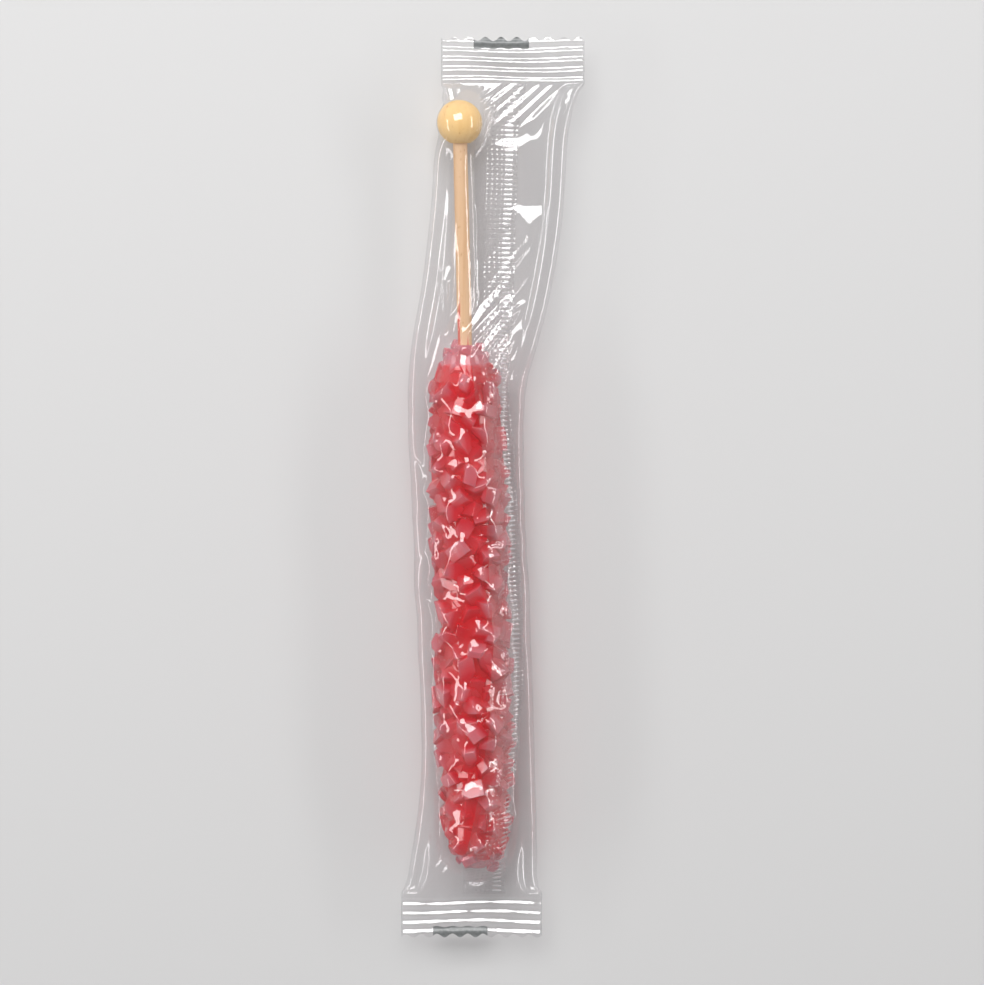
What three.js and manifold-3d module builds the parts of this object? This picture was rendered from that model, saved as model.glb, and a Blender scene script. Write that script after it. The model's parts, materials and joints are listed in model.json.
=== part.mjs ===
// A rock candy stick in its own clear film sleeve, lying down with the ball end of the stick towards +Y.
// The sleeve is sealed, so it is one solid: its outside shows the candy, the stick and the ball that it holds.
// Millimetres, +Z up. The origin is on the ground, under the middle of the sleeve.
import * as THREE from "three";
import { mergeVertices } from "three/addons/utils/BufferGeometryUtils.js";
import Module from "manifold-3d";

// The sleeve: a film tube with a crimped seal across each end
const sleeveLength = 197;
const flatWidth = 31;
const crimpLength = 9.6;
const wallThickness = 0.8;
const pressed = 0.05;
const ribPitch = 2.1;
const ribHeight = 0.35;
const toothDepth = 0.9;

// What it holds
const ballRadius = 4.9;
const ballFromEnd = 18;
const bareStick = 49;
const candyLength = 114;
const filmGap = 0.3;

// The seam that runs along the sleeve, a band of two films folded down flat
const seamWidth = 9.5;
const seamHeight = 0.5;
const seamLift = 1.1;
const seamDepth = 0.7;
const seamFade = 5;
const seamSteps = 3;

// The crystals that push the film out
const crystalCount = 330;
const crystalSeed = 7;
const crystalRecess = 2;
const crystalJitter = 1.4;
const filmSlope = 0.42;
const goldenAngle = Math.PI * (3 - Math.sqrt(5));

// Places along the sleeve, from the candy's end (low) to the ball's end (high)
const topEnd = sleeveLength / 2;
const bottomEnd = -topEnd;
const topCrimp = topEnd - crimpLength;
const bottomCrimp = bottomEnd + crimpLength;
const ballY = topEnd - ballFromEnd;
const candyTop = ballY - bareStick;
const candyEnd = candyTop - candyLength;

// Places across it
const axisHeight = 8.9;
const restingWidth = 3.6;
const candyX = -4.5;
const ballX = -7;
const topCrimpX = 4.5;
const bottomCrimpX = candyX;

// The mesh's fineness: spaces in half a section, the stations along the sleeve, and how near points are one
const halfSteps = 16;
const candySpacing = 2.2;
const stickSpacing = 3;
const ballFlare = 8;
const ballSpacing = 1.4;
const endSpacing = 1.6;
const samePoint = 1e-4;

// The rounds that bring the sleeve's right edge to where its girth puts it
const girthRounds = 12;

// A value that changes smoothly along the sleeve, through [place, value] pairs.
function along(y, pairs) {
  if (y <= pairs[0][0]) return pairs[0][1];
  for (let i = 1; i < pairs.length; i++) {
    const [y0, v0] = pairs[i - 1];
    const [y1, v1] = pairs[i];
    if (y <= y1) return THREE.MathUtils.lerp(v0, v1, THREE.MathUtils.smoothstep(y, y0, y1));
  }
  return pairs.at(-1)[1];
}

// A seeded source of numbers from 0 to 1.
function randomSource(seed) {
  let state = seed;
  return () => {
    state = (Math.imul(state, 1664525) + 1013904223) >>> 0;
    return state / 2 ** 32;
  };
}

// The straight line that the stick lies on, a little askew.
function axisX(y) {
  const candyMiddle = (candyTop + candyEnd) / 2;
  return candyX + ((ballX - candyX) * (y - candyMiddle)) / (ballY - candyMiddle);
}

// How far the crystals reach from the stick.
function candyReach(y) {
  return along(y, [
    [candyEnd, 5.6],
    [candyEnd + 8, 8.7],
    [candyEnd + 34, 9.4],
    [candyEnd + 58, 9.0],
    [candyEnd + 84, 9.5],
    [candyTop - 9, 8.7],
    [candyTop, 5.2],
  ]);
}

// The outermost point of each crystal, spread evenly round and along the stick.
function crystalTips() {
  const random = randomSource(crystalSeed);
  return Array.from({ length: crystalCount }, (_, i) => {
    const share = (i + 0.5) / crystalCount;
    const y = candyEnd + candyLength * share + crystalJitter * (random() - 0.5);
    const angle = i * goldenAngle + (crystalJitter * (random() - 0.5)) / candyReach(y);
    const reach = candyReach(y) - crystalRecess * random() ** 2;
    return { y, angle, reach };
  });
}

const tips = crystalTips();

// The film's distance from the stick where it is drawn tight over the crystals' tips.
function filmReach(angle, y) {
  let reach = candyReach(y) - crystalRecess;
  for (const tip of tips) {
    if (Math.abs(tip.y - y) > crystalRecess / filmSlope) continue;
    const turn = Math.abs(angle - tip.angle) % (2 * Math.PI);
    const round = Math.min(turn, 2 * Math.PI - turn) * tip.reach;
    reach = Math.max(reach, tip.reach - filmSlope * Math.hypot(round, tip.y - y));
  }
  return reach + filmGap;
}

// A section over the candy, from its left side over the top and back underneath.
// The film lies flat on the ground in a narrow strip under the stick, and where a crystal presses it down.
function candySection(y) {
  return Array.from({ length: 2 * halfSteps }, (_, k) => {
    const angle = Math.PI * (1 - k / halfSteps);
    const reach = filmReach(angle, y);
    const offset = new THREE.Vector2(reach * Math.cos(angle), reach * Math.sin(angle));
    const resting = offset.y < 0 && Math.abs(offset.x) < restingWidth / 2;
    return new THREE.Vector2(axisX(y) + offset.x, resting ? 0 : Math.max(0, axisHeight + offset.y));
  });
}

// The height of the sleeve's middle, which sinks a little towards the ends.
function middleHeight(y) {
  return along(y, [
    [bottomEnd, 7.4],
    [candyEnd, axisHeight],
    [ballY, axisHeight],
    [topEnd, 7.6],
  ]);
}

// Half of the sleeve's thickness away from the candy, where it swells over the stick and the ball.
function fullness(y) {
  return along(y, [
    [bottomCrimp, pressed],
    [candyEnd, 6.2],
    [candyEnd + 8, 8.8],
    [candyTop, 8.6],
    [candyTop + 14, 5.8],
    [candyTop + 32, 3.0],
    [ballY - 9, 3.2],
    [ballY, ballRadius + filmGap],
    [ballY + 5, 3.2],
    [topCrimp, pressed],
  ]);
}

function leftEdge(y) {
  return along(y, [
    [bottomCrimp, bottomCrimpX - flatWidth / 2],
    [candyEnd, axisX(candyEnd) - 14],
    [candyTop, axisX(candyTop) - 9.4],
    [candyTop + 24, axisX(candyTop) - 7.6],
    [ballY, ballX - ballRadius - filmGap],
    [topCrimp, topCrimpX - flatWidth / 2],
  ]);
}

// How far the right edge hangs below the middle.
function edgeDrop(y) {
  return along(y, [
    [candyTop, 0],
    [candyTop + 20, 1.8],
    [ballY, 2],
    [topCrimp, 0],
  ]);
}

// The right edge's distance from the middle: the film doesn't stretch, so the girth settles it.
function rightReach(leftReach, radius) {
  const leftTangent = Math.sqrt(leftReach ** 2 - radius ** 2);
  const leftAngle = Math.acos(radius / leftReach);
  let reach = flatWidth / 2;
  for (let round = 0; round < girthRounds; round++) {
    const bend = radius * (Math.PI - leftAngle - Math.acos(Math.min(1, radius / reach)));
    const tangent = flatWidth - leftTangent - bend;
    reach = Math.hypot(tangent, radius);
  }
  return reach;
}

// Half of a section from one edge to the other: straight film, then round what it holds, then straight.
function halfSection(from, to, centre, radius, side) {
  const touch = (edge, turn) => {
    const offset = edge.clone().sub(centre);
    const swing = Math.acos(Math.min(1, radius / offset.length()));
    return offset.angle() + turn * swing;
  };
  const start = touch(from, -side);
  const end = touch(to, side);
  const path = new THREE.Path();
  path.moveTo(from.x, from.y);
  path.lineTo(centre.x + radius * Math.cos(start), centre.y + radius * Math.sin(start));
  path.absarc(centre.x, centre.y, radius, start, end, side > 0);
  path.lineTo(to.x, to.y);
  return path.getSpacedPoints(halfSteps);
}

// A section away from the candy: the flattened tube round the stick or the ball.
function sleeveSection(y) {
  const crimped = y <= bottomCrimp || y >= topCrimp;
  const height = middleHeight(y);
  const radius = fullness(y);
  const left = new THREE.Vector2(leftEdge(y), height);
  const middle = crimped ? left.x + flatWidth / 2 : axisX(y);
  const centre = new THREE.Vector2(middle, height);
  const reach = rightReach(Math.max(centre.x - left.x, radius), radius);
  const right = new THREE.Vector2(centre.x + reach, height - edgeDrop(y));
  const over = thicken(halfSection(left, right, centre, radius, 1), wallThickness / 2);
  const under = thicken(halfSection(right, left, centre, radius, -1), -wallThickness / 2);
  return [...over.slice(0, -1), ...under.slice(0, -1)];
}

// The film's own thickness, everywhere but at the two folded edges.
function thicken(points, lift) {
  return points.map((point, k) => (k === 0 || k === points.length - 1 ? point : point.setY(point.y + lift)));
}

// The section at a place along the sleeve, as points [x, z].
function section(y) {
  const share = along(y, [
    [candyEnd - 1, 1],
    [candyEnd + 11, 0],
    [candyTop - 8, 0],
    [candyTop + 10, 1],
  ]);
  if (share === 0) return candySection(y);
  const sleeve = sleeveSection(y);
  if (share === 1) return sleeve;
  return candySection(y).map((point, k) => point.lerp(sleeve[k], share));
}

function spread(from, to, spacing) {
  const steps = Math.round((to - from) / spacing);
  return Array.from({ length: steps }, (_, i) => from + ((to - from) * i) / steps);
}

const plainPlaces = [
  ...spread(bottomCrimp, candyEnd, endSpacing),
  ...spread(candyEnd, candyTop, candySpacing),
  ...spread(candyTop, ballY - ballFlare, stickSpacing),
  ...spread(ballY - ballFlare, topCrimp, ballSpacing),
  topCrimp,
];

// One crimped end: flat film with ribs across it and a cut edge of small teeth.
function crimpRings(from, to) {
  const outward = Math.sign(to - from);
  const ribs = spread(from, to, (outward * ribPitch) / 2).slice(1);
  const ribRings = ribs.map((y, i) => {
    const lift = i % 2 ? -ribHeight : ribHeight;
    return section(y).map((point) => new THREE.Vector3(point.x, y, point.y + lift));
  });
  const cutEdge = section(to).map((point, k) => {
    const column = k <= halfSteps ? k : 2 * halfSteps - k;
    const tooth = column % 2 ? toothDepth / 2 : -toothDepth / 2;
    return new THREE.Vector3(point.x, to + outward * tooth, point.y);
  });
  return [...ribRings, cutEdge];
}

function plainRings() {
  return plainPlaces.map((y) => section(y).map((point) => new THREE.Vector3(point.x, y, point.y)));
}

// A closed surface through rings of points, each end closed by a strip across the ring.
function loft(rings) {
  const size = rings[0].length;
  const last = rings.length - 1;
  const index = [];
  for (let i = 0; i < last; i++) {
    for (let k = 0; k < size; k++) {
      const a = i * size + k;
      const b = i * size + ((k + 1) % size);
      const [c, d] = [a + size, b + size];
      if (k < size / 2) index.push(a, b, c, b, d, c);
      else index.push(a, b, d, a, d, c);
    }
  }
  const closeEnd = (first, flip) => {
    for (let k = 0; k < size / 2; k++) {
      const near = first + k;
      const next = near + 1;
      const far = first + ((size - k) % size);
      const farNext = first + (size - k - 1);
      const faces = [
        [near, far, farNext],
        [near, farNext, next],
      ];
      for (const face of faces.filter((corners) => new Set(corners).size === 3)) {
        index.push(...(flip ? face.reverse() : face));
      }
    }
  };
  closeEnd(0, false);
  closeEnd(last * size, true);
  const geometry = new THREE.BufferGeometry().setFromPoints(rings.flat());
  geometry.setIndex(index);
  return geometry;
}

// Where the seam leaves the film, as a share of the way over the top from the left edge.
function seamRoot(y) {
  return along(y, [
    [bottomCrimp, 0.74],
    [candyEnd + 50, 0.92],
    [candyTop - 30, 0.92],
    [ballY - 16, 0.64],
    [topCrimp, 0.6],
  ]);
}

// How much of its full height the seam has: none at the crimps, which press it flat.
function seamShare(y) {
  return along(y, [
    [bottomCrimp, 0],
    [bottomCrimp + seamFade, 1],
    [topCrimp - seamFade, 1],
    [topCrimp, 0],
  ]);
}

// A point of a section at a share of the way over the top, moved out from the film.
function filmPoint(ring, share, out) {
  const place = share * halfSteps;
  const k = Math.floor(place);
  const from = ring[k];
  const to = ring[(k + 1) % ring.length];
  const along2d = to.clone().sub(from).normalize();
  const point = from.clone().lerp(to, place - k);
  return point.add(new THREE.Vector2(-along2d.y, along2d.x).multiplyScalar(out));
}

// The folded seam as a band, sunk a little into the film that it lies on.
function seamGeometry() {
  const steps = Array.from({ length: seamSteps + 1 }, (_, i) => i / seamSteps);
  const rings = plainPlaces.slice(1, -1).map((y) => {
    const ring = section(y);
    const root = seamRoot(y);
    const shareAt = (step) => root - ((1 - step) * seamWidth) / flatWidth;
    const lift = (step) => (step === 0 ? seamLift : seamHeight) * seamShare(y);
    const outer = steps.map((step) => filmPoint(ring, shareAt(step), lift(step)));
    const inner = steps.map((step) => filmPoint(ring, shareAt(step), -seamDepth)).reverse();
    return [...outer, ...inner].map((point) => new THREE.Vector3(point.x, y, point.y));
  });
  return bandLoft(rings);
}

// A closed surface through the rings of a band whose two long sides face each other.
function bandLoft(rings) {
  const size = rings[0].length;
  const geometry = new THREE.BufferGeometry().setFromPoints(rings.flat());
  const index = [];
  for (let i = 0; i < rings.length - 1; i++) {
    for (let k = 0; k < size; k++) {
      const a = i * size + k;
      const b = i * size + ((k + 1) % size);
      index.push(a, b, a + size, b, b + size, a + size);
    }
  }
  const lastRing = (rings.length - 1) * size;
  for (let k = 0; k < size / 2 - 1; k++) {
    const [a, b, c, d] = [k, k + 1, size - 2 - k, size - 1 - k];
    index.push(a, d, b, b, d, c);
    index.push(lastRing + a, lastRing + b, lastRing + d, lastRing + b, lastRing + c, lastRing + d);
  }
  geometry.setIndex(index);
  return geometry;
}

const wasm = await Module();
wasm.setup();

function toSolid(geometry) {
  const merged = mergeVertices(geometry, samePoint);
  return new wasm.Manifold(
    new wasm.Mesh({
      numProp: 3,
      vertProperties: merged.attributes.position.array,
      triVerts: new Uint32Array(merged.index.array),
    }),
  );
}

function toGeometry(solid) {
  const mesh = solid.getMesh();
  const geometry = new THREE.BufferGeometry();
  geometry.setAttribute("position", new THREE.BufferAttribute(mesh.vertProperties, 3));
  geometry.setIndex(new THREE.BufferAttribute(mesh.triVerts, 1));
  geometry.computeVertexNormals();
  return geometry;
}

const rings = [
  ...crimpRings(bottomCrimp, bottomEnd).reverse(),
  ...plainRings(),
  ...crimpRings(topCrimp, topEnd),
];
const wrapped = toSolid(loft(rings)).add(toSolid(seamGeometry()));

const film = new THREE.MeshStandardMaterial({ color: 0xd9616b, roughness: 0.15, metalness: 0 });
const candy = new THREE.Mesh(toGeometry(wrapped), film);
candy.name = "wrapped_candy_stick";

const part = new THREE.Group();
part.add(candy);

export default part;
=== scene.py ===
# A rock candy stick in its own clear film sleeve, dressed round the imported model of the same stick.
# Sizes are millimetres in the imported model's frame. Meshes turn them to metres when they are made.
import json
import math

import bmesh
import bpy
import numpy as np
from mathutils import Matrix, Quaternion, Vector
from mathutils.bvhtree import BVHTree

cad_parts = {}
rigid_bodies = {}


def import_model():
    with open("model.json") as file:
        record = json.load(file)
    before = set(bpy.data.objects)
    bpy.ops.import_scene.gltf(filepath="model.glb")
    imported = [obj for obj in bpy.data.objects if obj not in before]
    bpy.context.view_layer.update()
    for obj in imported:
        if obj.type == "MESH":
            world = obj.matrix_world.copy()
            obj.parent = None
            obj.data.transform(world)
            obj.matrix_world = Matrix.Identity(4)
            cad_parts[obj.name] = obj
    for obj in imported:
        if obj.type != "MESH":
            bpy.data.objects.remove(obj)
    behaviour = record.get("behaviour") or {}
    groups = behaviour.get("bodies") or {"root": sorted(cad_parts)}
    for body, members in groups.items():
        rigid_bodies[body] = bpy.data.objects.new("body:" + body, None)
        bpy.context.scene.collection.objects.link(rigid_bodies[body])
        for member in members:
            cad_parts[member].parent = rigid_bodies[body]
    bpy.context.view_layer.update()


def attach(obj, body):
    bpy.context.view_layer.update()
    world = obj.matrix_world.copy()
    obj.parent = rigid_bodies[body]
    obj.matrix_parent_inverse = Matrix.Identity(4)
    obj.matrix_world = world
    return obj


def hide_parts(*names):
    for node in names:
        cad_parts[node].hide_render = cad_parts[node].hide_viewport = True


MM = 0.001
TINY = 1e-9

# The sleeve: a film tube with a crimped seal across each end
SLEEVE_LENGTH = 197.0
FLAT_WIDTH = 31.0
CRIMP_LENGTH = 9.6
CRIMP_ROWS = 72
RIB_PITCH = 2.1
RIB_HEIGHT = 0.2
TOOTH_DEPTH = 0.9
TOOTH_PITCH = 3.4
LAYER_GAP = 0.05
FILM_REFLECTANCE = 0.075
CLEAR_HAZE = 0.015
PRESSED_HAZE = 0.27

# The dark mark on each crimp: its sides, the share of the crimp where it starts, its lift and its grid
MARK_LEFT = -8.5
MARK_RIGHT = 3.5
MARK_START = 0.79
MARK_LIFT = 0.05
MARK_GRID = (16, 60)

# What it holds
BALL_RADIUS = 4.9
BALL_FROM_END = 18.0
BALL_PLACES = 56
BALL_SIDES = 72
HOLE_EDGE = 0.5
STICK_RADIUS = 1.6
STICK_THINNER = 0.03
STICK_UNEVENNESS = 0.05
STICK_WINDOW = 9
STICK_PLACES = 160
STICK_SIDES = 40
STICK_SEED = 3
STAIN_LENGTH = 18.0
BARE_STICK = 49.0
CANDY_LENGTH = 114.0
CORE_RADIUS = 6.6
CORE_OVERHANG = 0.8
CORE_PLACES = 120
CORE_SIDES = 28
HEART_RADIUS = 5.2
HEART_INSET = 3.0
HEART_PLACES = 50

# The seam, a band of two films folded down flat
SEAM_WIDTH = 9.5
SEAM_LIFT = 0.9
SEAM_GAP = 0.22
SEAM_FADE = 5.0
SEAM_ROWS = 1030
SEAM_COLUMNS = 56
SEAM_NORMAL_ROUNDS = 3
SEAM_EASE_ROUNDS = 10
KNURL_PITCH = 1.04
KNURL_HEIGHT = 0.14
RIB_COLUMN = 1.85
RIB_HALF_WIDTH = 0.95
DOTS_END = 7.0
FAINT_SHARE = 0.3
PLAIN_EDGE = 0.7

# Flat facets in the film beside the stick, each as its middle's x from the ball, its straight side's y
# from the ball, its half width, its depth and its lean
FACETS = (
    (15.2, -18.0, 4.6, 4.4, -0.02),
    (12.0, -3.4, 6.4, 2.2, 0.15),
    (24.4, 6.4, 4.2, 1.8, 0.45),
    (11.0, -38.0, 3.6, 3.4, -0.3),
    (-3.2, -31.0, 1.6, 5.0, 0.2),
)
FACET_SLOPE = 0.365
FACET_TAPER = 1.3
FACET_BACK = 9.0

# The crystals
CRYSTAL_COUNT = 330
CRYSTAL_SEED = 7
CRYSTAL_RECESS = 2.0
CRYSTAL_JITTER = 1.4
CRYSTAL_SMALLEST = np.array([3.4, 2.9, 2.4])
CRYSTAL_LARGEST = np.array([5.6, 4.4, 3.8])
CRYSTAL_END_SCALE = 0.55
CRYSTAL_END_LENGTH = 10.0
FILLER_COUNT = 420
FILLER_MARGIN = 2.0
FILLER_SINK = 1.5
FILLER_JITTER = 1.2
FILLER_SCALE = 0.7
TEMPLATE_COUNT = 14
TEMPLATE_CUTS = 7
TEMPLATE_BEVEL = 0.022
SPECK_POINTS = 20
GOLDEN_ANGLE = math.pi * (3 - math.sqrt(5))

# Places along the sleeve, from the candy's end (low) to the ball's end (high)
TOP_END = SLEEVE_LENGTH / 2
BOTTOM_END = -TOP_END
TOP_CRIMP = TOP_END - CRIMP_LENGTH
BOTTOM_CRIMP = BOTTOM_END + CRIMP_LENGTH
BALL_Y = TOP_END - BALL_FROM_END
CANDY_TOP = BALL_Y - BARE_STICK
CANDY_END = CANDY_TOP - CANDY_LENGTH

# Places across it
AXIS_HEIGHT = 8.9
CANDY_X = -4.5
BALL_X = -7.0
TOP_CRIMP_X = 4.5
BOTTOM_CRIMP_X = CANDY_X
GROUND_GAP = 0.15

# The film's grid, and how it settles
COLUMNS = 128
ROWS = 297
LENGTH_SLACK = 1.006
SETTLE_ROUNDS = 380
SQUEEZE = 0.02
SQUEEZE_ROUNDS = 320
FILM_GAP = 0.16
FILM_LOWEST = 0.04
SHEET_GAP = 0.14
OVAL_POINTS = 721
OVAL_ROUNDS = 30
REACH_ROWS = 240
REACH_ANGLES = 160
REACH_MARGIN = 2.0
RAY_START = 16.0

# The film's crumples: their height, and the share and size in points of each kind
CRUMPLE = 0.35
CRUMPLE_KINDS = ((0.8, 8), (0.2, 3))
CRUMPLE_FADE = 4.0
CRUMPLE_SEED = 11

# How the film resists bending, over how many points, how much, and to which share of its flat length
BENDING = ((2, 0.5, 0.985), (4, 0.35, 0.97), (8, 0.2, 0.93))

# The room's brightness at its walls, and at its ceiling from a direction's height on
WALL_LIGHT = 0.65
CEILING_LIGHT = 0.12
CEILING_FROM = 0.9

# How far the floor reaches each way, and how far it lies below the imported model's ground
FLOOR_REACH = 3000.0
FLOOR_DROP = 0.02

# Each light's name, place and size in metres, and power in watts
LIGHTS = (
    ("key", (-0.15, 0.65, 0.95), (0.8, 0.65), 12.5),
    ("right_strip", (1.0, 0.1, 0.5), (1.0, 0.12), 2.6),
    ("left_strip", (-1.0, -0.1, 0.5), (1.0, 0.12), 2.6),
)

# The camera, in metres and degrees. Its sensor is in millimetres, as its lens is.
CAMERA_DISTANCE = 1.0
CAMERA_TILT = 5.8
CAMERA_AIM_HEIGHT = 0.009
VIEW_WIDTH = 0.215
SENSOR_WIDTH = 36


def along(y, pairs):
    """A value that changes smoothly along the sleeve, through (place, value) pairs."""
    places, values = np.array(pairs, float).T
    k = np.clip(np.searchsorted(places, y), 1, len(places) - 1)
    share = np.clip((y - places[k - 1]) / (places[k] - places[k - 1]), 0, 1)
    return values[k - 1] + (values[k] - values[k - 1]) * share**2 * (3 - 2 * share)


def random_source(seed):
    """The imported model's own seeded numbers, from 0 to 1."""
    state = seed
    while True:
        state = (state * 1664525 + 1013904223) % 2**32
        yield state / 2**32


def axis_x(y):
    """The straight line that the stick lies on, a little askew."""
    candy_middle = (CANDY_TOP + CANDY_END) / 2
    return CANDY_X + (BALL_X - CANDY_X) * (y - candy_middle) / (BALL_Y - candy_middle)


def candy_reach(y):
    """How far the crystals reach from the stick."""
    return along(
        y,
        [
            (CANDY_END, 5.6),
            (CANDY_END + 8, 8.7),
            (CANDY_END + 34, 9.4),
            (CANDY_END + 58, 9.0),
            (CANDY_END + 84, 9.5),
            (CANDY_TOP - 9, 8.7),
            (CANDY_TOP, 5.2),
        ],
    )


def crystal_tips():
    """The outermost point of each crystal as (y, angle, reach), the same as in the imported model."""
    draw = random_source(CRYSTAL_SEED)
    tips = []
    for i in range(CRYSTAL_COUNT):
        share = (i + 0.5) / CRYSTAL_COUNT
        y = CANDY_END + CANDY_LENGTH * share + CRYSTAL_JITTER * (next(draw) - 0.5)
        angle = i * GOLDEN_ANGLE + CRYSTAL_JITTER * (next(draw) - 0.5) / candy_reach(y)
        reach = candy_reach(y) - CRYSTAL_RECESS * next(draw) ** 2
        tips.append((y, angle, reach))
    return tips


def new_piece(name, points, faces, material, smooth=True):
    """A mesh piece from points in millimetres."""
    mesh = bpy.data.meshes.new(name)
    mesh.from_pydata((np.asarray(points) * MM).tolist(), [], faces)
    mesh.materials.append(material)
    mesh.polygons.foreach_set("use_smooth", [smooth] * len(mesh.polygons))
    mesh.update()
    piece = bpy.data.objects.new(name, mesh)
    bpy.context.scene.collection.objects.link(piece)
    return piece


def grid_faces(rows, columns, closed):
    """Four-sided faces between the rows of a grid of points, closed round or open."""
    index = np.arange(rows * columns).reshape(rows, columns)
    if closed:
        index = np.hstack([index, index[:, :1]])
    corners = [index[:-1, :-1], index[:-1, 1:], index[1:, 1:], index[1:, :-1]]
    return np.stack([c.ravel() for c in corners], axis=1).tolist()


# Materials
class Tree:
    """A material's nodes, added by short calls. An input's name has _ for a space."""

    def __init__(self, name):
        self.material = bpy.data.materials.new(name)
        self.material.use_nodes = True
        self.nodes = self.material.node_tree.nodes
        self.links = self.material.node_tree.links
        self.nodes.clear()

    def add(self, kind, settings=None, **inputs):
        node = self.nodes.new("ShaderNode" + kind)
        for name, value in (settings or {}).items():
            setattr(node, name, value)
        for name, value in inputs.items():
            self.feed(node.inputs[name.replace("_", " ")], value)
        return node

    def feed(self, socket, value):
        if isinstance(value, bpy.types.NodeSocket):
            self.links.new(value, socket)
        else:
            socket.default_value = value

    def math(self, operation, first, second=0.0, third=0.0, clamp=False):
        node = self.nodes.new("ShaderNodeMath")
        node.operation = operation
        node.use_clamp = clamp
        for socket, value in zip(node.inputs, (first, second, third)):
            self.feed(socket, value)
        return node.outputs[0]

    def ramp(self, value, stops):
        node = self.add("ValToRGB", Fac=value)
        elements = node.color_ramp.elements
        while len(elements) < len(stops):
            elements.new(0.5)
        for element, (place, colour) in zip(elements, stops):
            element.position = place
            element.color = (*colour, 1)
        return node.outputs["Color"]

    def mix(self, factor, first, second, blend="MIX"):
        """Mixes two colours. Inputs 6 and 7 and output 2 are the node's colour ones."""
        node = self.nodes.new("ShaderNodeMix")
        node.data_type = "RGBA"
        node.blend_type = blend
        self.feed(node.inputs[0], factor)
        self.feed(node.inputs[6], first)
        self.feed(node.inputs[7], second)
        return node.outputs[2]

    def noise(self, scale, detail=3.0, stretch=(1, 1, 1)):
        place = self.add("TexCoord").outputs["Object"]
        mapping = self.add("Mapping", Vector=place, Scale=stretch)
        return self.add("TexNoise", Vector=mapping.outputs[0], Scale=scale, Detail=detail).outputs["Fac"]

    def bump(self, height, strength, distance):
        return self.add("Bump", Height=height, Strength=strength, Distance=distance * MM).outputs[0]

    def blend(self, factor, first, second):
        """Mixes two shaders."""
        node = self.add("MixShader", Fac=factor)
        self.links.new(first.outputs[0], node.inputs[1])
        self.links.new(second.outputs[0], node.inputs[2])
        return node

    def finish(self, shader):
        self.add("OutputMaterial", Surface=shader.outputs[0])
        return self.material


def crinkles(tree):
    """Fine unevenness of thin film, as a normal, and the share of the film that is milky."""
    return tree.bump(tree.noise(260, 4.0, (1, 0.45, 1)), 0.5, 0.06), CLEAR_HAZE


def pressed_seal(tree):
    """The same for the seam, which is whitish at the peaks of its pressed pattern."""
    normal, haze = crinkles(tree)
    pressed = tree.add("Attribute", {"attribute_name": "pressed"}).outputs["Fac"]
    peaks = tree.math("MULTIPLY_ADD", pressed, 2.5, -1.1, True)
    return normal, tree.math("MULTIPLY_ADD", peaks, PRESSED_HAZE, haze)


def film_material(name, layers, shine_rough, relief):
    """Clear film, one or more layers thick: see-through, brighter at a slant, with a little milkiness."""
    tree = Tree(name)
    normal, haze_share = relief(tree)
    slant = tree.add("LayerWeight", Blend=0.5, Normal=normal).outputs["Facing"]
    steep = tree.math("POWER", slant, 5.0)
    reflected = tree.math("MULTIPLY_ADD", steep, 0.75, FILM_REFLECTANCE * layers, True)
    tints = [(0.0, (0.97, 0.965, 0.968)), (0.75, (0.93, 0.925, 0.93)), (1.0, (0.6, 0.6, 0.62))]
    clear = tree.add("BsdfTransparent", Color=tree.ramp(slant, tints))
    haze = tree.add("BsdfDiffuse", Color=(0.95, 0.93, 0.94, 1), Normal=normal)
    shine = tree.add("BsdfGlossy", Color=(1, 1, 1, 1), Roughness=shine_rough, Normal=normal)
    return tree.finish(tree.blend(reflected, tree.blend(haze_share, clear, haze), shine))


def crystal_material():
    """Clear red sugar with painted light and shade: paler pink at the tips as painted light through thin
    sugar, deep red in the clefts as painted shade, and fine growth steps on the faces.
    """
    tree = Tree("candy_crystals")
    depth = tree.add("Attribute", {"attribute_name": "outward"}).outputs["Fac"]
    patch = tree.noise(140, 2.0)
    # Painted light and shade: the colour runs from deep red near the crust, painted shade in the clefts, to
    # pale pink at the tips, painted light through thin sugar.
    painted_light_tone = tree.math("ADD", depth, tree.math("MULTIPLY_ADD", patch, 0.5, -0.25))
    tip_light_and_cleft_shade = [(0.0, (0.95, 0.0, 0.015)), (0.45, (1.0, 0.035, 0.065)), (1.0, (1.0, 0.36, 0.43))]
    steps = tree.noise(700, 3.0)
    shader = tree.add(
        "BsdfPrincipled",
        Base_Color=tree.ramp(painted_light_tone, tip_light_and_cleft_shade),
        Roughness=0.04,
        IOR=1.54,
        Transmission_Weight=0.54,
        Subsurface_Weight=0.6,
        Subsurface_Radius=(1.0, 0.2, 0.15),
        Subsurface_Scale=0.003,
        Normal=tree.bump(steps, 0.25, 0.1),
    )
    return tree.finish(shader)


def heart_material():
    """The cloudy red sugar inside the crust."""
    tree = Tree("candy_heart")
    colour = tree.ramp(tree.noise(200), [(0.3, (1.0, 0.01, 0.03)), (0.7, (1.0, 0.09, 0.13))])
    return tree.finish(tree.add("BsdfPrincipled", Base_Color=colour, Roughness=0.5))


def wood_material(name, light, mid, dark, stained):
    """Smooth pale wood with grain along the stick and a few dark specks, stained by the sugar or not."""
    tree = Tree(name)
    grain = tree.noise(900, 4.0, (1, 0.05, 1))
    colour = tree.ramp(grain, [(0.3, dark), (0.5, mid), (0.7, light)])
    speck = tree.ramp(tree.noise(1700, 1.0, (1, 0.5, 1)), [(0.7, (1, 1, 1)), (0.78, (0.72, 0.55, 0.4))])
    colour = tree.mix(1.0, colour, speck, "MULTIPLY")
    if stained:
        colour = sugar_stain(tree, colour)
    shader = tree.add(
        "BsdfPrincipled",
        Base_Color=colour,
        Roughness=0.6,
        Normal=tree.bump(grain, 0.3, 0.05),
    )
    return tree.finish(shader)


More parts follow.
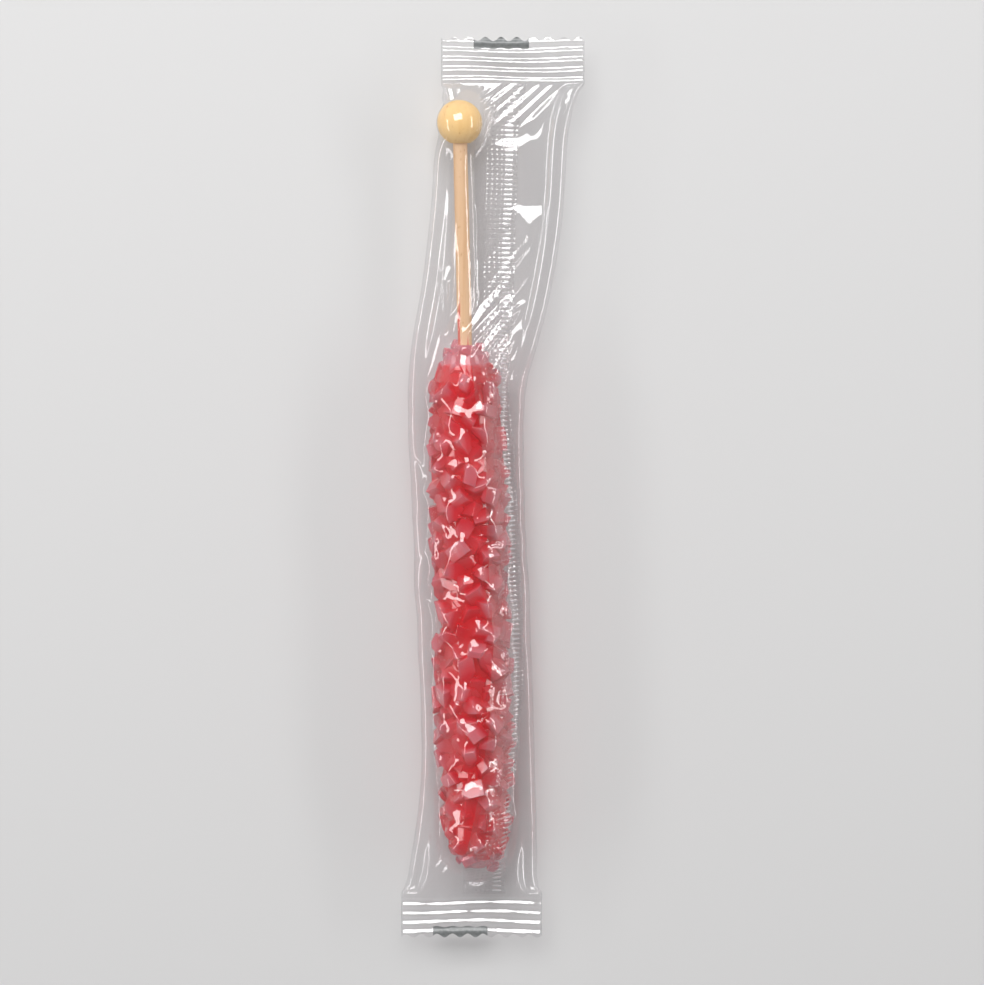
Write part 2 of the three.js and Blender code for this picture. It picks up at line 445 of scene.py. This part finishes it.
def sugar_stain(tree, colour):
    """The wood's colour with red streaks that thin out away from the candy."""
    place = tree.add("SeparateXYZ", Vector=tree.add("TexCoord").outputs["Object"]).outputs["Y"]
    near = tree.add("MapRange", Value=place)
    limits = ((CANDY_TOP + STAIN_LENGTH) * MM, CANDY_TOP * MM, 0.0, 1.0)
    for socket, value in zip(near.inputs[1:5], limits):
        socket.default_value = value
    streak = tree.math("MULTIPLY_ADD", tree.noise(800, 2.0, (1, 0.05, 1)), 12.0, -8.2)
    amount = tree.math("MULTIPLY_ADD", near.outputs[0], 3.0, streak, True)
    stain = tree.math("MULTIPLY", amount, 0.85)
    return tree.mix(stain, colour, (0.72, 0.07, 0.06, 1))


def print_material():
    """Dark grey ink, a little uneven."""
    tree = Tree("dark_mark")
    colour = tree.ramp(tree.noise(1500), [(0.3, (0.17, 0.18, 0.18)), (0.7, (0.25, 0.26, 0.26))])
    return tree.finish(tree.add("BsdfPrincipled", Base_Color=colour, Roughness=0.3))


def floor_material():
    """A plain pale surface."""
    tree = Tree("pale_floor")
    return tree.finish(tree.add("BsdfPrincipled", Base_Color=(0.64, 0.635, 0.635, 1), Roughness=0.6))


# The candy
def cut_block(rng):
    """A skewed block with some edges and corners cut off, as sugar crystals have. It is 1 across."""
    bm = bmesh.new()
    bmesh.ops.create_cube(bm, size=1)
    lean = rng.uniform(0.1, 0.28)
    for vertex in bm.verts:
        vertex.co.x += lean * vertex.co.z
    cuts = [Vector(rng.choice([-1, 0, 1], 3).tolist()) for _ in range(TEMPLATE_CUTS)]
    for normal in [cut.normalized() for cut in cuts if cut.length_squared > 1]:
        reach = max(vertex.co.dot(normal) for vertex in bm.verts)
        everything = bm.verts[:] + bm.edges[:] + bm.faces[:]
        place = normal * reach * rng.uniform(0.66, 0.9)
        cut = bmesh.ops.bisect_plane(bm, geom=everything, plane_co=place, plane_no=normal, clear_outer=True)
        edges = [item for item in cut["geom_cut"] if isinstance(item, bmesh.types.BMEdge)]
        bmesh.ops.edgeloop_fill(bm, edges=edges)
    edges = bm.edges[:]
    bmesh.ops.bevel(bm, geom=edges, offset=TEMPLATE_BEVEL, segments=1, affect="EDGES", clamp_overlap=True)
    bmesh.ops.remove_doubles(bm, verts=bm.verts[:], dist=1e-4)
    bmesh.ops.recalc_face_normals(bm, faces=bm.faces[:])
    points = np.array([vertex.co[:] for vertex in bm.verts])
    faces = [[vertex.index for vertex in face.verts] for face in bm.faces]
    bm.free()
    return points, faces


def place_crystal(template, rng, tip, size):
    """A crystal turned at random, with its outermost point at the tip's reach, and clear of the ground."""
    y, angle, reach = tip
    points, faces = template
    turn = Quaternion(rng.normal(size=4).tolist()).normalized().to_matrix()
    placed = (points * size) @ np.array(turn).T
    outward = np.array([math.cos(angle), 0, math.sin(angle)])
    extent = (placed @ outward).max()
    placed += np.array([axis_x(y), y, AXIS_HEIGHT]) + outward * (reach - extent)
    placed[:, 2] += max(0.0, GROUND_GAP - placed[:, 2].min())
    return placed, faces


def crystal_blocks():
    """The crystals at the tips, then smaller ones between them. Near the two ends all are smaller."""
    rng = np.random.default_rng(CRYSTAL_SEED)
    templates = [cut_block(rng) for _ in range(TEMPLATE_COUNT)]
    for tip in crystal_tips():
        size = crystal_scale(tip[0]) * rng.uniform(CRYSTAL_SMALLEST, CRYSTAL_LARGEST)
        yield place_crystal(templates[rng.integers(TEMPLATE_COUNT)], rng, tip, size)
    span = CANDY_LENGTH - 2 * FILLER_MARGIN
    for i in range(FILLER_COUNT):
        y = CANDY_END + FILLER_MARGIN + span * (i + rng.random()) / FILLER_COUNT
        reach = candy_reach(y) - FILLER_SINK - FILLER_JITTER * rng.random()
        size = crystal_scale(y) * FILLER_SCALE * rng.uniform(CRYSTAL_SMALLEST, CRYSTAL_LARGEST)
        tip = (y, i * GOLDEN_ANGLE + 1, reach)
        yield place_crystal(templates[rng.integers(TEMPLATE_COUNT)], rng, tip, size)


def crystal_scale(y):
    """How large the crystals are at each place, against those in the middle of the candy."""
    return along(
        y,
        [
            (CANDY_END, CRYSTAL_END_SCALE),
            (CANDY_END + CRYSTAL_END_LENGTH, 1),
            (CANDY_TOP - CRYSTAL_END_LENGTH, 1),
            (CANDY_TOP, CRYSTAL_END_SCALE),
        ],
    )


def rod_points(places, radii, sides):
    """Rings round the stick's line at each place, with a radius each."""
    turn = np.linspace(0, 2 * math.pi, sides, endpoint=False)
    rings = []
    for y, radius in zip(places, radii):
        x = axis_x(y) + radius * np.cos(turn)
        z = AXIS_HEIGHT + radius * np.sin(turn)
        rings.append(np.stack([x, np.full(sides, y), z], axis=1))
    return np.concatenate(rings)


def closed_rod(name, places, radii, sides, material, smooth=True):
    """A solid turned round the stick's line, closed at both ends."""
    points = rod_points(places, radii, sides)
    faces = [face[::-1] for face in grid_faces(len(places), sides, True)]
    faces.append(list(range(sides)))
    faces.append(list(range(len(points) - 1, len(points) - sides - 1, -1)))
    return new_piece(name, points, faces, material, smooth)


def core_radii(places, radius):
    """The crust's radius along the candy. Its rounded ends reach the outermost crystals."""
    ends = [
        (CANDY_END - CORE_OVERHANG / 2, 0.25),
        (CANDY_END + 1.5, 0.66),
        (CANDY_END + 7, 1),
        (CANDY_TOP - 8, 1),
        (CANDY_TOP - 1.5, 0.72),
        (CANDY_TOP + CORE_OVERHANG, 0.3),
    ]
    return radius * along(places, ends)


def clean_join(mesh):
    """Deletes the tiny closed pockets that the join leaves between crystals."""
    bm = bmesh.new()
    bm.from_mesh(mesh)
    unseen = set(bm.verts)
    specks = []
    for start in bm.verts:
        if start not in unseen:
            continue
        unseen.remove(start)
        island = [start]
        for vertex in island:
            fresh = {edge.other_vert(vertex) for edge in vertex.link_edges} & unseen
            unseen -= fresh
            island.extend(fresh)
        if len(island) < SPECK_POINTS:
            specks += island
    bmesh.ops.delete(bm, geom=specks, context="VERTS")
    bm.to_mesh(mesh)
    bm.free()


def add_blocks(material):
    """Every crystal as an object of its own, in a collection."""
    group = bpy.data.collections.new("crystals")
    bpy.context.scene.collection.children.link(group)
    for i, (points, faces) in enumerate(crystal_blocks()):
        block = new_piece(f"crystal_{i}", points, faces, material, False)
        bpy.context.scene.collection.objects.unlink(block)
        group.objects.link(block)
    return group


def join_blocks(body, group):
    """Joins the collection's objects to the body, and removes them."""
    join = body.modifiers.new("join", "BOOLEAN")
    join.operation = "UNION"
    join.operand_type = "COLLECTION"
    join.collection = group
    join.solver = "MANIFOLD"
    depsgraph = bpy.context.evaluated_depsgraph_get()
    body.data = bpy.data.meshes.new_from_object(body.evaluated_get(depsgraph))
    body.modifiers.clear()
    for block in list(group.objects):
        bpy.data.objects.remove(block)
    bpy.data.collections.remove(group)


def make_candy():
    """All crystals and the crust under them, joined to one clear body."""
    material = crystal_material()
    places = np.linspace(CANDY_END - CORE_OVERHANG / 2, CANDY_TOP + CORE_OVERHANG, CORE_PLACES)
    radii = core_radii(places, CORE_RADIUS)
    candy = closed_rod("candy_crystals", places, radii, CORE_SIDES, material, False)
    join_blocks(candy, add_blocks(material))
    clean_join(candy.data)
    mark_outward(candy.data)
    return candy


def make_heart():
    """The cloudy heart inside the clear body."""
    places = np.linspace(CANDY_END + HEART_INSET, CANDY_TOP - HEART_INSET, HEART_PLACES)
    radii = core_radii(places, HEART_RADIUS)
    return closed_rod("candy_heart", places, radii, CORE_SIDES, heart_material())


def mesh_points(mesh):
    """A mesh's points in millimetres."""
    points = np.empty(len(mesh.vertices) * 3)
    mesh.vertices.foreach_get("co", points)
    return points.reshape(-1, 3) / MM


def store(mesh, name, values):
    """Keeps a value for each point of a mesh, for its material to read."""
    attribute = mesh.attributes.new(name, "FLOAT", "POINT")
    attribute.data.foreach_set("value", np.asarray(values, np.float32).ravel())


def mark_outward(mesh):
    """Stores how far out each point is between the crust and the crystals' tips. The crystal material
    paints shade in the clefts and light at the tips from it.
    """
    points = mesh_points(mesh)
    reach = np.hypot(points[:, 0] - axis_x(points[:, 1]), points[:, 2] - AXIS_HEIGHT)
    outward = (reach - CORE_RADIUS) / (candy_reach(points[:, 1]) - CORE_RADIUS + 0.01)
    store(mesh, "outward", np.clip(outward, 0, 1))


# The stick and its ball
def make_stick():
    """A thin stick, slightly uneven along its length, from inside the candy to inside the ball."""
    places = np.linspace(CANDY_END + 2, BALL_Y - 1, STICK_PLACES)
    rng = np.random.default_rng(STICK_SEED)
    bumps = rng.normal(0, STICK_UNEVENNESS, STICK_PLACES + STICK_WINDOW - 1)
    drift = np.convolve(bumps, np.ones(STICK_WINDOW) / STICK_WINDOW, "valid")
    wood = wood_material("stick_wood", (0.84, 0.57, 0.35), (0.81, 0.53, 0.31), (0.75, 0.46, 0.25), True)
    return closed_rod("wooden_stick", places, STICK_RADIUS - STICK_THINNER + drift, STICK_SIDES, wood)


def make_ball():
    """A turned ball with a small flat round the stick's hole."""
    flat = math.asin((STICK_RADIUS + HOLE_EDGE) / BALL_RADIUS)
    turns = np.linspace(flat, math.pi - 0.01, BALL_PLACES)
    places = BALL_Y - BALL_RADIUS * np.cos(turns)
    radii = BALL_RADIUS * np.sin(turns)
    places = np.concatenate([[places[0] + 0.25], places])
    radii = np.concatenate([[STICK_RADIUS - 0.1], radii])
    wood = wood_material("ball_wood", (0.95, 0.65, 0.28), (0.935, 0.63, 0.265), (0.91, 0.59, 0.235), False)
    return closed_rod("wooden_ball", places, radii, BALL_SIDES, wood)


# The film
def reach_map(candy):
    """The candy's outermost distance from the stick, by place and angle."""
    tree = BVHTree.FromPolygons(
        mesh_points(candy.data).tolist(),
        [list(face.vertices) for face in candy.data.polygons],
    )
    places = np.linspace(CANDY_END - REACH_MARGIN, CANDY_TOP + REACH_MARGIN, REACH_ROWS)
    turns = np.linspace(0, 2 * math.pi, REACH_ANGLES, endpoint=False)
    reach = np.zeros((REACH_ROWS, REACH_ANGLES))
    for i, y in enumerate(places):
        for j, turn in enumerate(turns):
            outward = Vector((math.cos(turn), 0, math.sin(turn)))
            start = Vector((axis_x(y), y, AXIS_HEIGHT)) + outward * RAY_START
            distance = tree.ray_cast(start, -outward, RAY_START)[3]
            reach[i, j] = 0 if distance is None else RAY_START - distance
    return reach


def ring_sizes(y):
    """The sleeve's left edge and half height before it settles."""
    left = along(
        y,
        [
            (BOTTOM_CRIMP, BOTTOM_CRIMP_X - FLAT_WIDTH / 2),
            (CANDY_END, axis_x(CANDY_END) - 14),
            (CANDY_END + 12, axis_x(CANDY_END) - 10),
            (CANDY_TOP - 8, axis_x(CANDY_TOP) - 10),
            (CANDY_TOP + 24, axis_x(CANDY_TOP) - 7.6),
            (BALL_Y, BALL_X - BALL_RADIUS - 0.4),
            (TOP_CRIMP, TOP_CRIMP_X - FLAT_WIDTH / 2),
        ],
    )
    half_height = along(
        y,
        [
            (BOTTOM_CRIMP, 0.06),
            (CANDY_END, 6.8),
            (CANDY_END + 12, 9.6),
            (CANDY_TOP - 8, 9.6),
            (CANDY_TOP + 14, 6),
            (CANDY_TOP + 32, 3.4),
            (BALL_Y - 9, 3.6),
            (BALL_Y, 5.2),
            (BALL_Y + 5, 3.4),
            (TOP_CRIMP, 0.06),
        ],
    )
    return left, half_height


def middle_height(y):
    """The height of the sleeve's middle, which sinks a little towards the ends."""
    return along(y, [(BOTTOM_END, 7.4), (CANDY_END, AXIS_HEIGHT), (BALL_Y, AXIS_HEIGHT), (TOP_END, 7.6)])


def ellipse_width(half_height):
    """The half width of an ellipse with the sleeve's girth, for each half height."""
    half_width = np.full_like(half_height, FLAT_WIDTH / 2)
    for _ in range(OVAL_ROUNDS):
        total = half_width + half_height
        spread = ((half_width - half_height) / total) ** 2
        girth = math.pi * total * (1 + 3 * spread / (10 + np.sqrt(4 - 3 * spread)))
        half_width *= 1 + 0.5 * (2 * FLAT_WIDTH / girth - 1)
    return half_width


def start_rings(places):
    """The tube before it settles: evenly spaced points round an ellipse at each place."""
    left, half_height = ring_sizes(places)
    half_width = ellipse_width(half_height)
    turn = np.linspace(0, 2 * math.pi, OVAL_POINTS)
    rings = []
    for y, start, a, b, height in zip(places, left, half_width, half_height, middle_height(places)):
        x = start + a - a * np.cos(turn)
        z = height + b * np.sin(turn)
        walked = np.concatenate([[0], np.cumsum(np.hypot(np.diff(x), np.diff(z)))])
        even = np.linspace(0, walked[-1], COLUMNS, endpoint=False)
        ring = [np.interp(even, walked, x), np.full(COLUMNS, y), np.interp(even, walked, z)]
        rings.append(np.stack(ring, axis=1))
    return np.array(rings)


def pairs_apart(index, step, closed):
    """Two batches of pairs of points, step apart along the first axis, with no point twice in a batch."""
    count = len(index) if closed else len(index) - step
    for half in (0, 1):
        places = np.arange(count)
        places = places[(places // step) % 2 == half]
        yield index[places].ravel(), index[(places + step) % len(index)].ravel()


def film_links(row_step, column_step):
    """What holds the film's size: (points, other points, distance, stiffness, only pushes)."""
    index = np.arange(ROWS * COLUMNS).reshape(ROWS, COLUMNS)
    slant = math.hypot(row_step, column_step)
    links = []
    for a, b in pairs_apart(index.T, 1, True):
        links.append((a, b, column_step, 1.0, False))
    for a, b in pairs_apart(index, 1, False):
        links.append((a, b, row_step, 1.0, False))
    for side in (1, -1):
        turned = np.roll(index, side, axis=1)
        for half in (0, 1):
            rows = np.arange(half, ROWS - 1, 2)
            links.append((index[rows].ravel(), turned[rows + 1].ravel(), slant, 0.5, False))
    for step, stiffness, bend in BENDING:
        for a, b in pairs_apart(index.T, step, True):
            links.append((a, b, bend * step * column_step, stiffness, True))
        for a, b in pairs_apart(index, step, False):
            links.append((a, b, bend * step * row_step, stiffness, True))
    return links


def hold_length(points, links):
    """Moves each pair of linked points to its distance, or towards it where the link is soft."""
    for a, b, distance, stiffness, only_push in links:
        gap = points[b] - points[a]
        length = np.sqrt(np.einsum("ij,ij->i", gap, gap)) + TINY
        excess = (length - distance) / length
        if only_push:
            excess = np.minimum(excess, 0)
        shift = gap * (0.5 * stiffness * excess)[:, None]
        points[a] += shift
        points[b] -= shift


def keep_outside(points, reach):
    """Moves the film out of the candy, the stick, the ball and the ground."""
    x = points[:, 0] - axis_x(points[:, 1])
    z = points[:, 2] - AXIS_HEIGHT
    distance = np.hypot(x, z) + TINY
    share = (points[:, 1] - CANDY_END + REACH_MARGIN) / (CANDY_LENGTH + 2 * REACH_MARGIN)
    row = np.clip((share * (REACH_ROWS - 1)).round().astype(int), 0, REACH_ROWS - 1)
    column = (np.arctan2(z, x) / (2 * math.pi) * REACH_ANGLES).round().astype(int) % REACH_ANGLES
    need = np.where((share >= 0) & (share <= 1), reach[row, column], 0)
    bare_stick = (points[:, 1] > CANDY_TOP) & (points[:, 1] < BALL_Y)
    need = np.where(bare_stick, np.maximum(need, STICK_RADIUS), need)
    need = np.where(need > 0, need + FILM_GAP, 0)
    grow = np.maximum(need / distance, 1)
    points[:, 0] += x * (grow - 1)
    points[:, 2] += z * (grow - 1)
    ball = np.array([axis_x(BALL_Y), BALL_Y, AXIS_HEIGHT])
    from_ball = points - ball
    distance = np.linalg.norm(from_ball, axis=1) + TINY
    grow = np.maximum((BALL_RADIUS + FILM_GAP) / distance, 1)
    points += from_ball * (grow - 1)[:, None]
    points[:, 2] = np.maximum(points[:, 2], FILM_LOWEST)


def part_sheets(points):
    """Keeps the upper film above the lower one where the sleeve lies flat."""
    grid = points.reshape(ROWS, COLUMNS, 3)
    upper = grid[:, 1 : COLUMNS // 2, 2]
    lower = grid[:, : COLUMNS // 2 : -1, 2]
    overlap = np.maximum(SHEET_GAP - (upper - lower), 0) / 2
    upper += overlap
    lower -= overlap


def grid_normals(grid):
    """The outward direction at each point of the film."""
    round_way = np.roll(grid, -1, axis=1) - np.roll(grid, 1, axis=1)
    along_way = np.gradient(grid, axis=0)
    normal = np.cross(round_way, along_way)
    return normal / (np.linalg.norm(normal, axis=2, keepdims=True) + TINY)


def smooth_noise(rng, rows, columns, size):
    """Random heights that change over about size points, closed round."""
    noise = rng.normal(size=(rows, columns))
    for axis, ends in ((0, "nearest"), (1, "wrap")):
        for _ in range(3):
            moved = [np.roll(noise, step, axis) for step in range(-size, size + 1)]
            noise = sum(moved) / len(moved)
    return noise / noise.std()


def inside_crimps(y, margin, end_value):
    """1 between the crimps, changing smoothly to the end value over a margin before each of them."""
    return along(
        y,
        [
            (BOTTOM_CRIMP, end_value),
            (BOTTOM_CRIMP + margin, 1),
            (TOP_CRIMP - margin, 1),
            (TOP_CRIMP, end_value),
        ],
    )


def crumples(grid, places):
    """How the film's points move into small random hollows and bulges, from which its folds grow."""
    rng = np.random.default_rng(CRUMPLE_SEED)
    relief = sum(share * smooth_noise(rng, ROWS, COLUMNS, size) for share, size in CRUMPLE_KINDS)
    fade = inside_crimps(places, CRUMPLE_FADE, 0)
    return grid_normals(grid) * (CRUMPLE * relief * fade[:, None])[..., None]


def settle_film(reach):
    """The film tube as it shrinks on to what it holds.

    It keeps its size, so what is spare goes into folds.
    """
    places = np.linspace(BOTTOM_CRIMP, TOP_CRIMP, ROWS)
    start = start_rings(places)
    row_step = (places[1] - places[0]) * LENGTH_SLACK
    column_step = 2 * FLAT_WIDTH / COLUMNS
    links = film_links(row_step, column_step)
    grid = start.copy()
    grid += crumples(start, places)
    points = grid.reshape(-1, 3)
    for turn in range(SETTLE_ROUNDS):
        if turn < SQUEEZE_ROUNDS:
            grid[..., 2] -= grid_normals(grid)[..., 2] * SQUEEZE
        hold_length(points, links)
        keep_outside(points, reach)
        part_sheets(points)
        grid[0] = start[0]
        grid[-1] = start[-1]
    upper = grid[:, 1 : COLUMNS // 2]
    upper[..., 2] += facet_height(upper[..., 0], upper[..., 1])
    return places, grid


def facet_height(x, y):
    """How far the facets lift the upper film.

    Each slopes down to its straight side, and fades behind its crest.
    """
    height = np.zeros_like(x)
    for from_ball, side, half_width, depth, lean in FACETS:
        offset = x - BALL_X - from_ball
        size = depth * np.maximum(1 - np.abs(offset) / half_width, 0) ** FACET_TAPER
        behind = BALL_Y + side + lean * offset - y
        back = np.clip((behind - size) / FACET_BACK, 0, 1)
        slope = np.clip(behind, 0, size) * np.cos(back * math.pi / 2) ** 2
        height = np.maximum(height, FACET_SLOPE * slope)
    return height


def crimp_surface(x, out, side, layer):
    """A crimp's points by x from its middle and by how far out they are, from 0 to 1.

    side is 1 at the ball's end and -1 at the candy's, and layer is 1 for the upper film and -1 for the
    lower one. The ribs are uneven in height and wander a little, and the whole crimp bends slightly.
    """
    middle = TOP_CRIMP_X if side > 0 else BOTTOM_CRIMP_X
    tooth = TOOTH_DEPTH / 2 * np.sin(2 * math.pi * x / TOOTH_PITCH)
    y = side * (TOP_CRIMP + out * (CRIMP_LENGTH + tooth * out**4))
    wave = 1 + 0.25 * np.sin(0.9 * x + 5 * out) * np.sin(0.37 * x - 3 * out)
    warp = 0.25 * np.sin(0.2 * x + 2 * out)
    rib = np.sin(2 * math.pi * (side * y - TOP_CRIMP + warp) / RIB_PITCH)
    fade = np.clip(out * 8, 0, 1)
    bend = 0.25 * np.sin(0.21 * x + 1.3 * side) * out
    z = middle_height(y) + rib * RIB_HEIGHT * wave * fade + bend + layer * LAYER_GAP
    return np.stack(np.broadcast_arrays(middle + x, y, z), axis=-1)


def crimp_grid(side):
    """The rows of a crimp, from the sleeve outwards."""
    half = COLUMNS // 2
    across = np.linspace(-FLAT_WIDTH / 2, FLAT_WIDTH / 2, half + 1)
    x = np.concatenate([across[:-1], across[:0:-1]])
    layer = np.concatenate([[0], np.ones(half - 1), [0], -np.ones(half - 1)])
    out = np.linspace(0, 1, CRIMP_ROWS + 1)[1:, None]
    return crimp_surface(x[None, :], out, side, layer[None, :])


def make_sleeve(film, material):
    """The settled film with a crimp at each end, as one piece."""
    rows = np.concatenate([crimp_grid(-1)[::-1], film, crimp_grid(1)])
    faces = grid_faces(len(rows), COLUMNS, True)
    return new_piece("film_sleeve", rows.reshape(-1, 3), faces, material)


def make_mark(side, material):
    """The dark mark printed across the cut edge, on top of the crimp."""
    rows, columns = MARK_GRID
    x = np.linspace(MARK_LEFT, MARK_RIGHT, columns)[None, :]
    out = np.linspace(MARK_START, 1, rows)[:, None]
    points = crimp_surface(x, out, side, 1) + np.array([0, 0, MARK_LIFT])
    name = "print_mark_top" if side > 0 else "print_mark_bottom"
    return new_piece(name, points.reshape(-1, 3), grid_faces(rows, columns, False), material)


def seam_root(y):
    """Where the seam leaves the film, as a share of the way over the top from the left edge."""
    return along(
        y,
        [
            (BOTTOM_CRIMP, 0.74),
            (CANDY_END + 50, 0.92),
            (CANDY_TOP - 30, 0.92),
            (BALL_Y - 16, 0.64),
            (TOP_CRIMP, 0.6),
        ],
    )


def sample(grid, row, column):
    """The grid's value between its points."""
    r = np.clip(np.floor(row).astype(int), 0, len(grid) - 2)
    c = np.floor(column).astype(int)
    a, b = (row - r)[..., None], (column - c)[..., None]
    near = grid[r, c % COLUMNS] * (1 - b) + grid[r, (c + 1) % COLUMNS] * b
    far = grid[r + 1, c % COLUMNS] * (1 - b) + grid[r + 1, (c + 1) % COLUMNS] * b
    return near * (1 - a) + far * a


def swell(distance):
    """Rises and falls from 0 to 1, once in each pitch of the seam's pattern."""
    return 0.5 + 0.5 * np.sin(2 * math.pi * distance / KNURL_PITCH)


def pressed_pattern(across, lengthwise):
    """The height of the seam's pressed seal, from 0 to 1.

    It is a grid of dots with a column of ribs in it, then fainter ribs, then a plain edge.
    """
    ribs = swell(lengthwise)
    pattern = ribs**1.5 * swell(across) ** 2
    pattern = np.where(np.abs(across - RIB_COLUMN) < RIB_HALF_WIDTH, ribs, pattern)
    pattern = np.where(across > DOTS_END, FAINT_SHARE * ribs, pattern)
    return np.where(across < SEAM_WIDTH - PLAIN_EDGE, pattern, 0)


def blurred(grid, passes):
    """The grid with each inner point moved towards its neighbours, a few times."""
    for _ in range(passes):
        grid[1:-1] = (grid[:-2] + 2 * grid[1:-1] + grid[2:]) / 4
        grid[:, 1:-1] = (grid[:, :-2] + 2 * grid[:, 1:-1] + grid[:, 2:]) / 4
    return grid


def make_seam(places, film, material):
    """The folded seam on the film, a band that rises a little towards its free edge."""
    row = np.linspace(0, ROWS - 1, SEAM_ROWS)[:, None]
    y = np.interp(row, np.arange(ROWS), places)
    step = np.linspace(0, 1, SEAM_COLUMNS)[None, :]
    column = seam_root(y) * COLUMNS / 2 - step * SEAM_WIDTH / FLAT_WIDTH * COLUMNS / 2
    row, column = np.broadcast_arrays(row, column)
    normals = grid_normals(film)
    for _ in range(SEAM_NORMAL_ROUNDS):
        normals = (np.roll(normals, 1, 1) + np.roll(normals, -1, 1) + normals) / 3
    wave = 0.5 + 0.5 * np.sin(y / 4.1) * np.sin(y / 9.3 + 1)
    pressed = pressed_pattern(step * SEAM_WIDTH, y)
    height = SEAM_GAP + SEAM_LIFT * step**2 * wave + KNURL_HEIGHT * pressed
    height = height * inside_crimps(y, SEAM_FADE, 0.1)
    points = blurred(sample(film, row, column), SEAM_EASE_ROUNDS)
    points += sample(normals, row, column) * height[..., None]
    faces = grid_faces(SEAM_ROWS, SEAM_COLUMNS, False)
    seam = new_piece("film_seam", points.reshape(-1, 3), faces, material)
    store(seam.data, "pressed", pressed)
    return seam


# The room
def make_floor():
    """A plain floor just under the sleeve."""
    corners = [(-1, -1, 0), (1, -1, 0), (1, 1, 0), (-1, 1, 0)]
    points = np.array(corners) * FLOOR_REACH
    floor = new_piece("floor", points, [(0, 1, 2, 3)], floor_material(), False)
    floor.location.z = -FLOOR_DROP * MM


def add_light(name, position, size, power):
    """A white area light that looks at the origin."""
    light = bpy.data.lights.new(name, "AREA")
    light.shape = "RECTANGLE"
    light.size, light.size_y = size
    light.energy = power
    lamp = bpy.data.objects.new(name, light)
    bpy.context.scene.collection.objects.link(lamp)
    lamp.location = position
    lamp.rotation_euler = (-Vector(position)).to_track_quat("-Z", "Y").to_euler()


def light_room():
    """A soft key from the ball's end, a strip at each side, and walls brighter than the ceiling."""
    for name, position, size, power in LIGHTS:
        add_light(name, position, size, power)
    world = bpy.data.worlds.new("room")
    world.use_nodes = True
    nodes, links = world.node_tree.nodes, world.node_tree.links
    direction = nodes.new("ShaderNodeTexCoord")
    height = nodes.new("ShaderNodeSeparateXYZ")
    shade = nodes.new("ShaderNodeMapRange")
    for socket, value in zip(shade.inputs[1:5], (0.0, CEILING_FROM, WALL_LIGHT, CEILING_LIGHT)):
        socket.default_value = value
    links.new(direction.outputs["Generated"], height.inputs[0])
    links.new(height.outputs["Z"], shade.inputs[0])
    links.new(shade.outputs[0], nodes["Background"].inputs["Strength"])
    nodes["Background"].inputs["Color"].default_value = (1, 1, 1, 1)
    bpy.context.scene.world = world


def add_camera():
    """Looks down on the sleeve from high above it, a little from the ball's end."""
    tilt = math.radians(CAMERA_TILT)
    camera = bpy.data.cameras.new("camera")
    camera.lens = SENSOR_WIDTH * CAMERA_DISTANCE / VIEW_WIDTH
    camera.sensor_width = SENSOR_WIDTH
    viewer = bpy.data.objects.new("camera", camera)
    bpy.context.scene.collection.objects.link(viewer)
    height = CAMERA_AIM_HEIGHT + CAMERA_DISTANCE * math.cos(tilt)
    viewer.location = (0, CAMERA_DISTANCE * math.sin(tilt), height)
    viewer.rotation_euler = (-tilt, 0, 0)
    bpy.context.scene.camera = viewer


def set_render():
    """Enough light bounces for clear film over clear sugar, and plain colours."""
    scene = bpy.context.scene
    scene.cycles.max_bounces = 16
    scene.cycles.transmission_bounces = 10
    scene.cycles.transparent_max_bounces = 24
    scene.cycles.use_denoising = True
    scene.view_settings.view_transform = "Standard"


def dress():
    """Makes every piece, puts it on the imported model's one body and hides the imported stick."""
    candy, heart = make_candy(), make_heart()
    stick, ball = make_stick(), make_ball()
    places, film = settle_film(reach_map(candy))
    sleeve = make_sleeve(film, film_material("clear_film", 1, 0.06, crinkles))
    seam = make_seam(places, film, film_material("seam_film", 1.3, 0.08, pressed_seal))
    dark = print_material()
    marks = [make_mark(side, dark) for side in (1, -1)]
    slots = [(candy, "candy"), (heart, "candy"), (stick, "wood"), (ball, "wood")]
    slots += [(sleeve, "film"), (seam, "film")]
    slots += [(mark, "print") for mark in marks]
    for piece, name in slots:
        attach(piece, "root")
    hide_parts("wrapped_candy_stick")


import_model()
dress()
make_floor()
light_room()
add_camera()
set_render()
